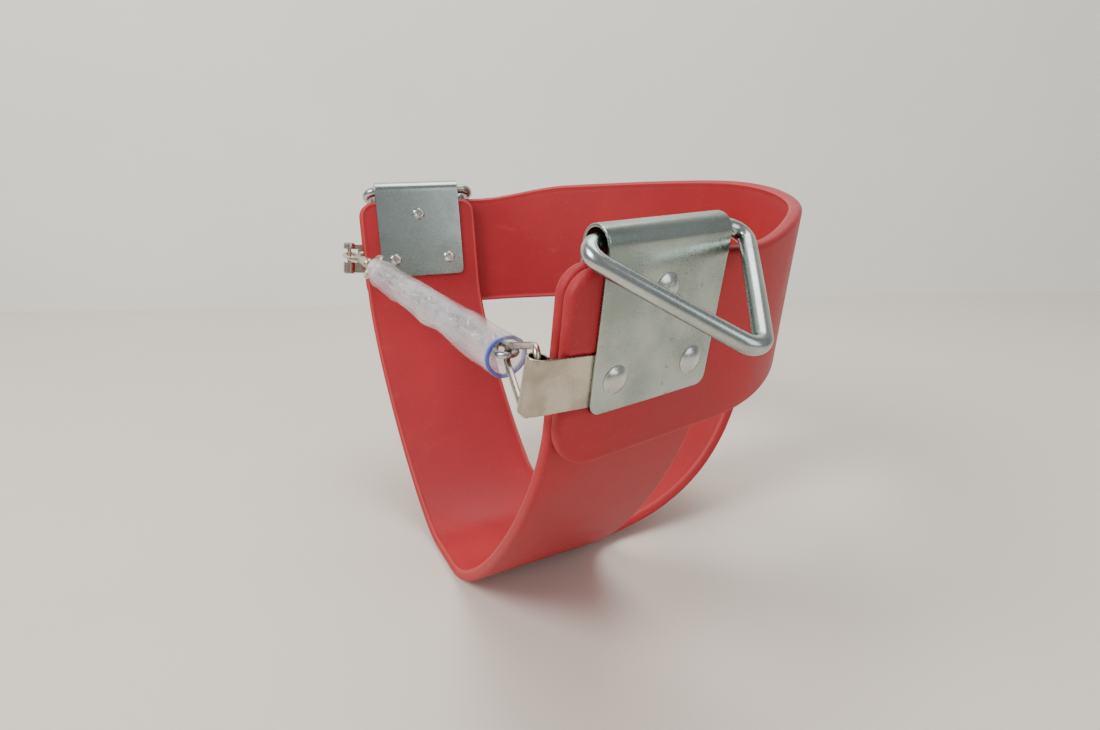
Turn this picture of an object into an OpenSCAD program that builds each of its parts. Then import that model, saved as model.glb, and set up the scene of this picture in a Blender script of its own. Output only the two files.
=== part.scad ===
// Half-bucket belt swing seat: a seat strap with a rear tongue, a back belt, two folded
// hangers with triangle rings, and a sleeved safety chain with a bolt snap.
// X runs from the left hanger to the right one, -Y is the front, Z = 0 is the floor.
// Everything at a hanger is drawn in the right hanger's own frame: x outwards, y to the
// rear, z up the plate from its bottom edge, x = 0 where the two belts touch.

/* [Stance] */
// Half the distance between the two hangers
half_span = 216; // [190:1:240]
// Height of the hanger plates' bottom edge over the floor
plate_h = 221; // [200:1:250]
// Outward lean of the hangers, in degrees
flare = 9.7; // [4:0.1:14]
// Turn of the hangers towards the back belt's curve, in degrees
toe = 10; // [2:0.5:14]

/* [Belts] */
// Thickness of both belts
belt_t = 8.5; // [7:0.5:10]
// Width of the seat strap, front to back
seat_w = 124; // [110:1:132]
// Flat length under the middle of the seat
seat_flat = 46; // [30:1:70]
// Height of the back belt at the middle of the back
back_w = 122; // [100:1:135]
// Height of the back belt where the hangers clamp it
back_end_w = 115; // [100:1:125]
// Depth of the seat from the hangers' middle to the back belt
back_depth = 245; // [200:1:270]
// Height of the back belt's lower edge over the floor, at the back
back_low = 200; // [185:1:230]
// How far the back belt's end stands in front of the hangers' middle
back_front = 63; // [58:1:66]
// Width of the rear tongue
tongue_w = 95; // [70:1:110]
// Radius that blends the tongue into both belts
tongue_fillet = 30; // [10:1:40]
// Corner radius of the seat strap's ends
seat_corner = 16; // [8:1:25]
// Lower corner radius of the back belt's ends
back_corner = 27; // [10:1:35]
// Thickness of the spring steel inserts inside the belts
insert_t = 0.8; // [0.5:0.1:1.2]
// Width of the inserts
insert_w = 82; // [76:1:90]

/* [Hangers] */
// Width of the folded plates
plate_w = 89; // [80:1:100]
// Thickness of the folded plates
plate_t = 2; // [1.5:0.25:2.5]
// Length of the plates' straight legs, up to the middle of the fold
plate_leg = 92; // [85:1:100]
// Radius of the plates' bottom corners
plate_corner = 7; // [3:1:12]
// Distance between the two lower rivets
rivet_gap_y = 58; // [50:1:64]
// Height of the lower rivets over the plates' bottom edge
rivet_low = 19; // [16:1:24]
// Height of the upper rivet over the plates' bottom edge
rivet_high = 67; // [58:1:70]
// Diameter of the rivets' shanks
rivet_d = 6.4; // [5:0.2:8]
// Diameter of the rivets' domed heads
head_d = 17.5; // [14:0.5:19]
// Height of the rivets' domed heads
head_h = 3.4; // [2:0.2:4]
// Diameter of the rivets' rolled tails
tail_d = 12.6; // [11:0.2:14]

/* [Triangle rings] */
// Diameter of the rings' rod
ring_d = 10; // [8:0.5:11]
// Distance between the rings' two upper corners, along the rod's middle line
ring_base = 128; // [124:1:134]
// Height of the rings' triangle, along the rod's middle line before it is rounded
ring_drop = 84; // [75:1:110]
// Bend radius of the rings' corners
ring_bend = 9; // [7:0.5:12]
// Angle at which the rings rest on the belts' shoulders, from hanging straight down
ring_rest = 63; // [60:1:80]
// How far the rings have slid towards the rear
ring_shift = 3; // [0:0.5:4]

/* [Chain brackets] */
// Height of the bracket strips
strip_h = 31; // [26:1:36]
// Thickness of the bracket strips
strip_t = 1.5; // [1:0.25:2]
// Distance from the rivet to the curl's middle line
strip_reach = 49; // [46:1:54]
// Outside diameter of the curls
curl_d = 12; // [11:0.5:14]
// Upward tilt of the strips, in degrees
strip_tilt = 6; // [0:1:8]
// Height of the window in the left curl
window_h = 14; // [12:0.5:15]
// Height of the window's middle over the strip's middle line
window_up = 3; // [2:0.5:4]
// Diameter of the pin that stands in the left curl
pin_d = 4; // [3:0.5:4.5]

/* [Safety chain] */
// Wire diameter of the chain and of the triangular link
wire_d = 4; // [3.5:0.1:4.5]
// Inside length of one chain link
link_len = 22; // [18:0.5:26]
// Inside width of one chain link
link_gap = 7; // [6:0.5:8]
// Number of chain links
links = 15; // [10:1:17]
// Reach of the triangular link from the curl to its tip
tri_reach = 46; // [42:1:56]
// Half height of the triangular link at the curl
tri_half = 21; // [19:0.5:24]
// Outside diameter of the clear sleeve
sleeve_d = 26.6; // [25:0.2:32]
// Wall of the clear sleeve
sleeve_wall = 2.6; // [1.5:0.1:3]

/* [Snap hook] */
// Diameter of the snap's barrel
barrel_d = 10.5; // [9:0.5:12]
// Length of the snap's barrel
barrel_len = 44; // [38:1:48]
// Diameter of the snap's bolt
bolt_d = 4.4; // [4:0.1:5]
// Diameter of the hook's bar
hook_d = 4.5; // [4:0.1:5]
// Distance between the middle lines of the hook's bar and the bolt
hook_gap = 10.5; // [10:0.5:12]
// Length of the hook's mouth, from the bend's middle to the barrel
mouth_len = 29; // [26:1:32]
// Travel of the bolt
bolt_travel = 9; // [6:0.5:10]
// Width of the swivel eye
eye_w = 28; // [24:1:30]
// Turn of the swivel eye from level, in degrees
eye_turn = 48; // [40:1:55]

/* [Fits] */
// Gap round the rivets and the inserts
rivet_fit = 0.1; // [0.05:0.05:0.2]
// Radial running fit of the bolt and of the swivel
run_fit = 0.08; // [0.05:0.01:0.1]
// Gap between pieces that only rest near each other
free_gap = 0.4; // [0.3:0.1:0.6]

/* [Hidden] */

red = [0.73, 0.25, 0.24];
steel = [0.45, 0.47, 0.5];
zinc = [0.72, 0.75, 0.74];
nickel = [0.7, 0.67, 0.62];
clear = [0.85, 0.84, 0.86];

function unit(v) = v / norm(v);
function lerp(a, b, u) = a + (b - a) * u;
function smooth(u) = let (s = min(max(u, 0), 1)) s * s * (3 - 2 * s);
function bezier(p, u) =
    pow(1 - u, 3) * p[0] + 3 * pow(1 - u, 2) * u * p[1]
    + 3 * (1 - u) * u * u * p[2] + pow(u, 3) * p[3];
function bezier_dir(p, u) = unit(
    pow(1 - u, 2) * (p[1] - p[0]) + 2 * (1 - u) * u * (p[2] - p[1]) + u * u * (p[3] - p[2]));
function turn_x(p, a) = [p.x, p.y * cos(a) - p.z * sin(a), p.y * sin(a) + p.z * cos(a)];
function turn_y(p, a) = [p.x * cos(a) + p.z * sin(a), p.y, p.z * cos(a) - p.x * sin(a)];
function turn_z(p, a) = [p.x * cos(a) - p.y * sin(a), p.x * sin(a) + p.y * cos(a), p.z];
function flip_x(p) = [-p.x, p.y, p.z];

// ---- the hanger's frame ----
function hanger_dir(v) = turn_z(turn_y(v, flare), toe);
function hanger_at(p) = [half_span, 0, plate_h] + hanger_dir(p);

fold_in = belt_t;
fold_out = belt_t + plate_t;
strap_top = plate_leg - fold_in - 1.5;
strap_below = 8;
rivet_front = [-rivet_gap_y / 2, rivet_low];
rivet_rear = [rivet_gap_y / 2, rivet_low];
rivet_upper = [0, rivet_high];
ring_axis_z = plate_leg + 1;

module on_side(side) {
    if (side > 0) children();
    else mirror([1, 0, 0]) children();
}

module hanger_frame(side) {
    on_side(side) translate([half_span, 0, plate_h]) rotate([0, flare, toe]) children();
}

// A bar along the hanger frame's x axis, through the stack at [y, z].
module across(at, r, x0, x1) {
    translate([x0, at[0], at[1]]) rotate([0, 90, 0]) cylinder(h = x1 - x0, r = r, $fn = 48);
}

// What a rounded corner of radius r takes off at [y, z]; sy and sz say which corner it is.
module corner_cut(at, sy, sz, r) {
    extra = 1;
    difference() {
        translate([-30, at[0] - (sy > 0 ? r : extra), at[1] - (sz > 0 ? r : extra)])
            cube([60, r + extra, r + extra]);
        across([at[0] - sy * r, at[1] - sz * r], r, -31, 31);
    }
}

// ---- bent sheets ----
// A closed solid through rings of points. Each ring runs along the sheet's inner face
// and back along its outer face.
module skin(rings) {
    n = len(rings);
    m = len(rings[0]);
    k = m / 2;
    sides = [for (i = [0 : n - 2]) for (j = [0 : m - 1])
        let (a = i * m + j, b = a + m, c = (i + 1) * m + (j + 1) % m, d = i * m + (j + 1) % m)
        each [[a, b, c], [a, c, d]]];
    caps = [for (j = [0 : k - 2])
        let (a = j, b = j + 1, c = m - 2 - j, d = m - 1 - j, e = (n - 1) * m)
        each [[a, b, c], [a, c, d], [e + c, e + b, e + a], [e + d, e + c, e + a]]];
    polyhedron(points = [for (ring = rings) each ring], faces = concat(sides, caps));
}

// A closed loop of rod through stations [x, y, heading] in the xy plane.
module skin_loop(stations, r, sides) {
    n = len(stations);
    polyhedron(
        points = [for (s = stations) each rod_ring([s.x, s.y], s[2], r, sides)],
        faces = [for (i = [0 : n - 1], j = [0 : sides - 1])
            let (a = i * sides + j, b = ((i + 1) % n) * sides + j,
                c = ((i + 1) % n) * sides + (j + 1) % sides, d = i * sides + (j + 1) % sides)
            each [[a, b, c], [a, c, d]]]);
}

// One ring from a station [middle, to one edge, to the other edge, outward normal].
function sheet_ring(s, t, inset = 0) =
    let (a = s[1] - inset * unit(s[1]), b = s[2] - inset * unit(s[2]), n = s[3] * t / 2)
    [s[0] + a - n, s[0] + b - n, s[0] + b + n, s[0] + a + n];
function flip_station(s) = [flip_x(s[0]), flip_x(s[1]), flip_x(s[2]), flip_x(s[3])];
function both_sides(half) = concat(
    half, [for (i = [len(half) - 2 : -1 : 0]) flip_station(half[i])]);

// Seat strap: straight in the hanger, then one bezier curve down to the flat bottom.
seat_side = 72;
seat_round = 49;
seat_steps = 20;
seat_start = hanger_at([-belt_t / 2, 0, -strap_below]);
seat_curve = [
    seat_start,
    seat_start - seat_side * hanger_dir([0, 0, 1]),
    [seat_flat / 2 + seat_round, 0, belt_t / 2],
    [seat_flat / 2, 0, belt_t / 2]
];
function seat_station(c, d, twist, half) =
    let (n = unit(cross(d, turn_z([0, 1, 0], twist))), w = cross(n, d))
    [c, -half * w, half * w, n];
function seat_stations(top, half) = both_sides(concat(
    [for (z = [top, 0]) seat_station(
        hanger_at([-belt_t / 2, 0, z]), -hanger_dir([0, 0, 1]), toe, half)],
    [for (i = [0 : seat_steps]) let (u = i / seat_steps) seat_station(
        bezier(seat_curve, u), bezier_dir(seat_curve, u), toe * (1 - smooth(u)), half)],
    [seat_station([0, 0, belt_t / 2], [-1, 0, 0], 0, half)]));

// Back belt: straight in the hanger, then one bezier curve round to the middle of the back.
belt_side = 95.5;
belt_round = 77;
belt_steps = 24;
// The back belt stays flat until it is past the seat strap's rear edge.
belt_bend_y = seat_w / 2 + 0.5;
belt_mid_z = strap_top - back_end_w / 2;
shoulder_rise = 10;
belt_start = hanger_at([belt_t / 2, belt_bend_y, belt_mid_z]);
belt_middle = [0, back_depth, back_low + back_w / 2];
belt_curve = [
    belt_start,
    belt_start + belt_side * hanger_dir([0, 1, 0]),
    belt_middle + [belt_round, 0, 0],
    belt_middle
];
// Above the clamped end the top edge keeps low until it is clear of the ring's corner.
function shoulder(u) = shoulder_rise * smooth((u - 0.04) / 0.33) * (1 - smooth(u));
function belt_station(c, d, lean, lo, hi) =
    let (up = unit(lean - (lean * d) * d)) [c, -lo * up, hi * up, cross(d, up)];
function belt_stations(front, lo, hi, bump) = both_sides(concat(
    [for (y = [-front, 12]) belt_station(
        hanger_at([belt_t / 2, y, belt_mid_z]), hanger_dir([0, 1, 0]), hanger_dir([0, 0, 1]),
        lo, hi)],
    [for (i = [0 : belt_steps]) let (u = i / belt_steps, grow = (back_w - back_end_w) / 2 * smooth(u))
        belt_station(
            bezier(belt_curve, u), bezier_dir(belt_curve, u),
            lerp(hanger_dir([0, 0, 1]), [0, 0, 1], smooth(u)),
            lo + grow, hi + grow + bump * shoulder(u))]));

// Tongue: from under the seat strap's rear edge back and up to the back belt's lower edge,
// cupped like the strap at its root and like the back belt at its top.
tongue_steps = 26;
tongue_across = 14;
tongue_bite = 3;
tongue_thin = 0.8;
tongue_curve = [
    [0, seat_w / 2 - tongue_bite, belt_t / 2],
    [0, seat_w / 2 + 58, belt_t / 2],
    [0, back_depth, 18],
    [0, back_depth, back_low - free_gap]
];
seat_rise = [for (i = [seat_steps : -1 : 0])
    let (p = bezier(seat_curve, i / seat_steps)) [p.x, p.z - belt_t / 2]];
// The back belt's lower edge, from the middle outwards.
belt_edge = [for (i = [belt_steps : -1 : 0])
    let (u = i / belt_steps, s = belt_station(
        bezier(belt_curve, u), bezier_dir(belt_curve, u),
        lerp(hanger_dir([0, 0, 1]), [0, 0, 1], smooth(u)),
        back_end_w / 2 + (back_w - back_end_w) / 2 * smooth(u), 0)) s[0] + s[1]];
belt_rise = [for (p = belt_edge) [p.x, back_depth - p.y]];
belt_drop = [for (p = belt_edge) [p.x, back_low - p.z]];
function cup(x, u) =
    lerp(lookup(abs(x), seat_rise), lookup(abs(x), belt_rise), smooth(u));
function blend(d) = d < tongue_fillet
    ? tongue_fillet - sqrt(pow(tongue_fillet, 2) - pow(tongue_fillet - max(d, 0), 2)) : 0;
function tongue_half(p) = tongue_w / 2 + blend(p.y - seat_w / 2) + blend(back_low - p.z);
function tongue_ring(u) =
    let (
        c = bezier(tongue_curve, u), n = cross(bezier_dir(tongue_curve, u), [1, 0, 0]),
        half = tongue_half(c), t = (belt_t - tongue_thin) / 2,
        xs = [for (j = [0 : tongue_across]) half * (2 * j / tongue_across - 1)],
        at = [for (x = xs) c + [x, 0, -smooth(u) * lookup(abs(x), belt_drop)]])
    concat(
        [for (j = [0 : tongue_across]) at[j] - n * (cup(xs[j], u) + t)],
        [for (j = [tongue_across : -1 : 0]) at[j] - n * (cup(xs[j], u) - t)]);

module rivet_holes() {
    for (at = [rivet_front, rivet_rear, rivet_upper])
        across(at, rivet_d / 2 + rivet_fit, -25, 25);
}

module insert_seat(gap) {
    skin([for (s = seat_stations(strap_top - 6 + gap, insert_w / 2 + gap))
        sheet_ring(s, insert_t + 2 * gap)]);
}

module insert_back(gap) {
    skin([for (s = belt_stations(insert_w / 2 + gap, insert_w / 2 + gap, insert_w / 2 + gap, 0))
        sheet_ring(s, insert_t + 2 * gap)]);
}

module seat_strap() {
    color(red) difference() {
        union() {
            skin([for (s = seat_stations(strap_top, seat_w / 2)) sheet_ring(s, belt_t)]);
            skin([for (i = [0 : tongue_steps]) tongue_ring(i / tongue_steps)]);
        }
        insert_seat(rivet_fit);
        for (side = [1, -1]) hanger_frame(side) {
            rivet_holes();
            for (sy = [1, -1]) corner_cut([sy * seat_w / 2, strap_top], sy, 1, seat_corner);
        }
    }
}

module seat_insert() {
    color(steel) difference() {
        insert_seat(0);
        for (side = [1, -1]) hanger_frame(side) rivet_holes();
    }
}

module back_belt() {
    end_half = back_end_w / 2;
    color(red) difference() {
        skin([for (s = belt_stations(back_front, end_half, end_half, 1)) sheet_ring(s, belt_t)]);
        insert_back(rivet_fit);
        for (side = [1, -1]) hanger_frame(side) {
            rivet_holes();
            corner_cut([-back_front, strap_top], -1, 1, seat_corner);
            corner_cut([-back_front, strap_top - back_end_w], -1, -1, back_corner);
            bracket_frame() strip_pocket();
        }
    }
}

module back_insert() {
    color(steel) difference() {
        insert_back(0);
        for (side = [1, -1]) hanger_frame(side) rivet_holes();
    }
}

// ---- hangers and rivets ----
module hanger(side) {
    color(zinc) hanger_frame(side) difference() {
        rotate([90, 0, 0]) linear_extrude(plate_w, center = true) difference() {
            union() {
                translate([-fold_out, 0]) square([2 * fold_out, plate_leg]);
                translate([0, plate_leg]) circle(r = fold_out, $fn = 96);
            }
            translate([-fold_in, -1]) square([2 * fold_in, plate_leg + 1]);
            translate([0, plate_leg]) circle(r = fold_in, $fn = 96);
        }
        for (sy = [1, -1]) corner_cut([sy * plate_w / 2, 0], sy, -1, plate_corner);
        for (at = [rivet_front, rivet_rear, rivet_upper])
            across(at, rivet_d / 2 + rivet_fit, -25, 25);
    }
}

module rivet(side, at) {
    dome_r = (pow(head_d / 2, 2) + head_h * head_h) / (2 * head_h);
    roll_r = 2.1;
    hollow_r = 1.8;
    color(zinc) hanger_frame(side) translate([0, at[0], at[1]]) rotate([0, 90, 0])
        rotate_extrude($fn = 64) difference() {
            union() {
                translate([0, -fold_out - 0.6]) square([rivet_d / 2, 2 * fold_out + 0.7]);
                intersection() {
                    translate([0, fold_out]) square([head_d / 2, head_h]);
                    translate([0, fold_out + head_h - dome_r]) circle(r = dome_r, $fn = 96);
                }
                intersection() {
                    translate([tail_d / 2 - roll_r, -fold_out]) circle(r = roll_r, $fn = 48);
                    translate([0, -fold_out - 5]) square([tail_d, 5]);
                }
                translate([0, -fold_out - 1.3]) square([tail_d / 2 - roll_r, 1.3]);
            }
            translate([0, -fold_out - 2]) square([hollow_r, 6]);
        }
}

// ---- bent rod: a closed loop of round rod through three corners, in the xy plane ----
// The first and last corners lie on the hinge line. That side is a true cylinder, and the
// rest of the loop is swept through the bends with its ends set into the cylinder.
function loop_corner(pts, i, bend) =
    let (
        n = len(pts), p = pts[i], a = unit(pts[(i + n - 1) % n] - p),
        b = unit(pts[(i + 1) % n] - p), inner = acos(a * b))
    [p + unit(a + b) * bend / sin(inner / 2), atan2(a.y, a.x) + 180, 180 - inner,
        p + a * bend / tan(inner / 2)];

// One ring of points of a rod through [x, y] with the given heading.
function rod_ring(at, heading, r, sides) = [for (j = [0 : sides - 1]) let (b = 360 * j / sides)
    [at.x - r * cos(b) * sin(heading), at.y + r * cos(b) * cos(heading), r * sin(b)]];

module rod_loop(pts, bend, rod, sides) {
    steps = 8;
    set_in = 2;
    swept = rod - 0.01;
    corners = [for (i = [0 : len(pts) - 1]) loop_corner(pts, i, bend)];
    start = corners[0][3] + [0, set_in];
    stop = [0, -corners[0][3].y - set_in];
    rings = concat(
        [rod_ring(start, -90, swept, sides)],
        [for (c = corners, i = [0 : steps]) let (h = c[1] + c[2] * i / steps)
            rod_ring(c[0] + bend * [sin(h), -cos(h)], h, swept, sides)],
        [rod_ring(stop, -90, swept, sides)]);
    bar = abs(corners[0][3].y);
    rotate([90, 0, 0]) cylinder(h = 2 * bar, r = rod, center = true, $fn = 64);
    skin(rings);
}

module ring(side) {
    color(zinc) hanger_frame(side) translate([0, ring_shift, ring_axis_z])
        rotate([0, 90 - ring_rest, 0])
        rod_loop(
            [[0, -ring_base / 2], [ring_drop, 0], [0, ring_base / 2]], ring_bend, ring_d / 2, 20);
}

// ---- chain brackets: origin at the front rivet, strip running to the front ----
curl_x = fold_in - curl_d / 2;
strip_tail = 12;
module bracket_frame() {
    translate([0, rivet_front[0], rivet_front[1]]) rotate([-strip_tilt, 0, 0]) children();
}
function bracket_dir(v) = hanger_dir(turn_x(v, -strip_tilt));
function bracket_at(p) = hanger_at([0, rivet_front[0], rivet_front[1]] + turn_x(p, -strip_tilt));

module strip_pocket() {
    translate([fold_in - strip_t - rivet_fit, -strip_reach, -strip_h / 2 - rivet_fit])
        cube([strip_t + 2, strip_reach + strip_tail + rivet_fit, strip_h + 2 * rivet_fit]);
}

module bracket(side, window) {
    gap_turn = 62;
    // The strip's end is set into the curl's wall.
    lap = 0.5;
    skim = 0.04;
    color(nickel) hanger_frame(side) bracket_frame() difference() {
        union() {
            translate([fold_in - strip_t + skim, -strip_reach - lap, -strip_h / 2])
                cube([strip_t - 2 * skim, strip_reach + strip_tail + lap, strip_h]);
            translate([curl_x, -strip_reach, -strip_h / 2]) rotate([0, 0, gap_turn])
                rotate_extrude(angle = 360 - gap_turn, $fn = 64)
                translate([curl_d / 2 - strip_t, 0]) square([strip_t, strip_h]);
        }
        across([0, 0], rivet_d / 2 + rivet_fit, 0, 20);
        if (window) translate([curl_x - curl_d, -strip_reach - curl_d, window_up - window_h / 2])
            cube([2 * curl_d, 1.75 * curl_d, window_h]);
    }
}

curl_mid = bracket_at([curl_x, -strip_reach, 0]);
curl_up = bracket_dir([0, 0, 1]);

module bracket_pin() {
    head = 1.2;
    color(nickel) hanger_frame(-1) bracket_frame() translate([curl_x, -strip_reach, 0]) {
        cylinder(h = strip_h + head, r = pin_d / 2, center = true, $fn = 32);
        for (s = [1, -1]) translate([0, 0, s * (strip_h + head) / 2])
            cylinder(h = head, r = curl_d / 2 - 0.5, center = true, $fn = 48);
    }
}

// ---- safety chain ----
// The chain lies level, in line with the snap's barrel. The pin stands half the hook's gap
// in front of the barrel.
chain_z = curl_mid.z + 3.7;
pin_at = curl_mid + curl_up * (chain_z - curl_mid.z) / curl_up.z;
chain_y = pin_at.y + hook_gap / 2;
tip_at = [curl_mid.x - tri_reach, chain_y, chain_z];
link_side = unit(tip_at - curl_mid);
link_up = unit(curl_up - (curl_up * link_side) * link_side);
link_out = cross(link_side, link_up);

module triangle_link() {
    bend = 6;
    // Where the arms' middle lines cross, for a rounded tip that ends at tip_at.
    reach = norm(tip_at - curl_mid) - bend;
    k = 1 - pow(bend / tri_half, 2);
    vertex = (reach + sqrt(reach * reach - k * (reach * reach - bend * bend))) / k;
    color(nickel) multmatrix([
        [link_side.x, -link_up.x, -link_out.x, curl_mid.x],
        [link_side.y, -link_up.y, -link_out.y, curl_mid.y],
        [link_side.z, -link_up.z, -link_out.z, curl_mid.z],
        [0, 0, 0, 1]]) {
        rod_loop([[0, -tri_half], [vertex, 0], [0, tri_half]], bend, wire_d / 2, 14);
        // The worn round of the tip, that the chain turns on.
        translate([reach + bend, 0, 0]) rotate([90, 0, 0])
            cylinder(h = 3, r = wire_d / 2 + 0.04, center = true, $fn = 48);
    }
}

link_pitch = link_len - 0.3;
link_half = (link_len + wire_d) / 2;
first_link_x = tip_at.x + wire_d + free_gap - link_half;
last_link_x = first_link_x - (links - 1) * link_pitch;
// The chain twists a little over its length, to leave at the swivel eye's angle.
link_twist = -(90 - eye_turn) / (links - 1);

module chain_link() {
    bend = (link_gap + wire_d) / 2;
    run = link_len - link_gap;
    for (s = [1, -1]) {
        translate([s * run / 2, 0, 0]) rotate([0, 0, -90 * s]) rotate_extrude(angle = 180, $fn = 48)
            translate([bend, 0]) circle(r = wire_d / 2, $fn = 24);
        translate([-run / 2, s * bend, 0]) rotate([0, 90, 0])
            cylinder(h = run, r = wire_d / 2, $fn = 24);
    }
}

module chain_links() {
    color(zinc) for (i = [0 : links - 1])
        translate([first_link_x - i * link_pitch, chain_y, chain_z])
        rotate([i * (90 + link_twist), 0, 0]) chain_link();
}

// The sleeve hangs on the top of the links.
sleeve_z = chain_z - (sleeve_d / 2 - sleeve_wall) + link_gap / 2 + wire_d + free_gap;
sleeve_x1 = tip_at.x - 1;
sleeve_slant = 3;
eye_x1 = last_link_x - link_half + wire_d + free_gap;
sleeve_x0 = eye_x1 + wire_d / 2 + 4;

module chain_sleeve() {
    length = sleeve_x1 - sleeve_x0;
    color(clear, 0.45) translate([sleeve_x0, chain_y, sleeve_z]) difference() {
        rotate([0, 90, 0]) cylinder(h = length + sleeve_slant, r = sleeve_d / 2, $fn = 96);
        translate([-1, 0, 0]) rotate([0, 90, 0])
            cylinder(h = length + 2 * sleeve_slant, r = sleeve_d / 2 - sleeve_wall, $fn = 96);
        translate([length, 0, 0]) rotate([0, atan(2 * sleeve_slant / sleeve_d), 0])
            translate([0, -sleeve_d, -2 * sleeve_d]) cube([sleeve_d, 2 * sleeve_d, 4 * sleeve_d]);
    }
}

// ---- snap hook: x along the barrel, from the hook's bend at the left to the eye ----
bend_x = -pin_at.x + hook_gap / 2 - hook_d / 2 - pin_d / 2 - free_gap - 0.1;
barrel_x0 = bend_x + mouth_len;
barrel_x1 = barrel_x0 + barrel_len;
collar_len = 6;
collar_x1 = barrel_x1 + collar_len;
tip_x1 = bend_x + 4;
bolt_x0 = tip_x1 + 0.3;
bolt_x1 = barrel_x0 + 21;
knob_x = barrel_x0 + 13;
stem_r = 1.3;
spring_x0 = bolt_x1 + 0.1;
bore_x1 = barrel_x1 - 3;
swivel_r = 2.4;

module rod_x(x0, x1, y, r) {
    translate([x0, y, 0]) rotate([0, 90, 0]) cylinder(h = x1 - x0, r = r, $fn = 48);
}

module snap_frame() {
    translate([0, chain_y, chain_z]) children();
}

module snap_body() {
    slot_w = 2 * stem_r + 0.6;
    slot_x0 = knob_x - slot_w / 2;
    // Where the hook's bar meets the barrel it runs in at a slant.
    root = [barrel_x0 - 1, -hook_gap];
    foot = [barrel_x0 + 13, -barrel_d / 2 + 2.6];
    slant = foot - root;
    color(nickel) snap_frame() difference() {
        union() {
            rod_x(barrel_x0, barrel_x1, 0, barrel_d / 2);
            rod_x(barrel_x1, collar_x1, 0, barrel_d / 2 - 1.2);
            rod_x(bend_x, root.x, -hook_gap, hook_d / 2);
            translate([root.x, root.y, 0]) sphere(r = hook_d / 2, $fn = 48);
            translate([root.x, root.y, 0]) rotate([0, 90, atan2(slant.y, slant.x)])
                cylinder(h = norm(slant), r = hook_d / 2, $fn = 48);
            rod_x(bend_x, tip_x1, 0, hook_d / 2);
            translate([bend_x, -hook_gap / 2, 0]) rotate([0, 0, 90])
                rotate_extrude(angle = 180, $fn = 64)
                translate([hook_gap / 2, 0]) circle(r = hook_d / 2, $fn = 48);
        }
        rod_x(barrel_x0 - 1, bore_x1, 0, bolt_d / 2 + run_fit);
        rod_x(barrel_x1 - 2, collar_x1 + 1, 0, swivel_r + run_fit);
        translate([slot_x0, -slot_w / 2, 0])
            cube([slot_w + bolt_travel, slot_w, barrel_d]);
        // Seat of the swivel's head, open through the collar's side windows.
        translate([barrel_x1 - 2, -barrel_d, -2.7]) cube([3.4, 2 * barrel_d, 5.4]);
    }
}

module snap_bolt() {
    color(nickel) snap_frame() difference() {
        rod_x(bolt_x0, bolt_x1, 0, bolt_d / 2);
        translate([knob_x, 0, -0.2]) cylinder(h = bolt_d, r = stem_r, $fn = 32);
    }
}

module snap_knob() {
    color(nickel) snap_frame() translate([knob_x, 0, -0.2]) rotate_extrude($fn = 48) union() {
        square([stem_r, barrel_d / 2 + 1.6]);
        translate([0, barrel_d / 2 + 0.6]) square([3.1, 1.6]);
        intersection() {
            translate([0, barrel_d / 2 + 2.2]) square([3.1, 3]);
            translate([0, barrel_d / 2 + 2.2 - 3]) circle(r = 4.3, $fn = 64);
        }
    }
}

module snap_spring() {
    wire = 0.3;
    coil_r = bolt_d / 2 - wire - 0.1;
    turns = 9;
    per_turn = 12;
    length = bore_x1 - spring_x0 - 0.3;
    count = turns * per_turn;
    rings = [for (i = [0 : count])
        let (a = 360 * i / per_turn, c = [spring_x0 + wire + (length - 2 * wire) * i / count,
            coil_r * cos(a), coil_r * sin(a)])
        [for (j = [0 : 5]) let (b = -60 * j)
            c + wire * [cos(b), sin(b) * cos(a), sin(b) * sin(a)]]];
    color(steel) snap_frame() skin(rings);
}

// Swivel eye: a rounded wire eye, its stem and the headed end that turns in the collar.
eye_x0 = collar_x1 + 1.2 + wire_d / 2;

module snap_eye() {
    // The eye is an oval: bend across, bend * flat along the barrel.
    bend = (eye_w - wire_d) / 2;
    mid = (eye_x0 + eye_x1) / 2;
    flat = (eye_x1 - eye_x0) / 2 / bend;
    color(nickel) snap_frame() {
        rotate([eye_turn, 0, 0]) skin_loop([for (i = [0 : 47]) let (a = 7.5 * i)
            [mid + bend * flat * cos(a), bend * sin(a), atan2(cos(a), -flat * sin(a))]],
            wire_d / 2, 12);
        rod_x(barrel_x1 - 1.4, eye_x0, 0, swivel_r);
    }
}

seat_strap();
seat_insert();
back_belt();
back_insert();
hanger(1);  // hanger_right
hanger(-1);  // hanger_left
ring(1);  // ring_right
ring(-1);  // ring_left
rivet(1, rivet_upper);  // rivet_right_upper
rivet(1, rivet_front);  // rivet_right_front
rivet(1, rivet_rear);  // rivet_right_rear
rivet(-1, rivet_upper);  // rivet_left_upper
rivet(-1, rivet_front);  // rivet_left_front
rivet(-1, rivet_rear);  // rivet_left_rear
bracket(1, false);  // bracket_right
bracket(-1, true);  // bracket_left
bracket_pin();
triangle_link();
chain_links();
chain_sleeve();
snap_eye();
snap_body();
snap_bolt();
snap_knob();
snap_spring();
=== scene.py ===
import math
import bpy
import numpy as np
from mathutils import Matrix, Vector


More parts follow.
